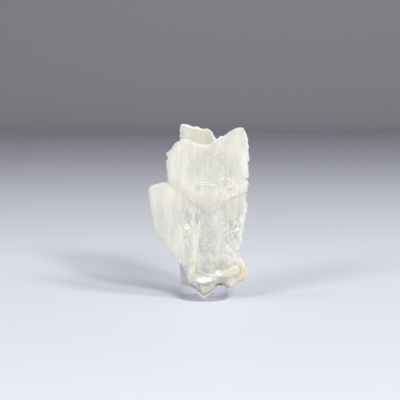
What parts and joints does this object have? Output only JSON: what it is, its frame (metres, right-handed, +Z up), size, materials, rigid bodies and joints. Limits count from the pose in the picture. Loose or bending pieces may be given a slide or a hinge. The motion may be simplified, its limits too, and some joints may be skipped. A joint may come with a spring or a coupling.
{
  "type": "selenite crystal blade on stand",
  "caption": "Flat blade of layered, striated selenite standing on its tip in a V-grooved clear rod stand with a raised back rest.",
  "frame": {"origin": "centre of the stand's underside, on the surface that the stand rests on", "axes": "+Z up along the stand's rod and the stone's length; the stone's broad front faces -Y; +X to the right of someone who looks at that front"},
  "size_m": [0.0527, 0.0254, 0.0917],
  "materials": {
    "selenite": "satin, translucent, striated along its length",
    "clear_acrylic": "polished, clear"
  },
  "bodies": {
    "root": {"selenite_blade": "selenite", "acrylic_stand": "clear_acrylic"}
  },
  "joints": []
}
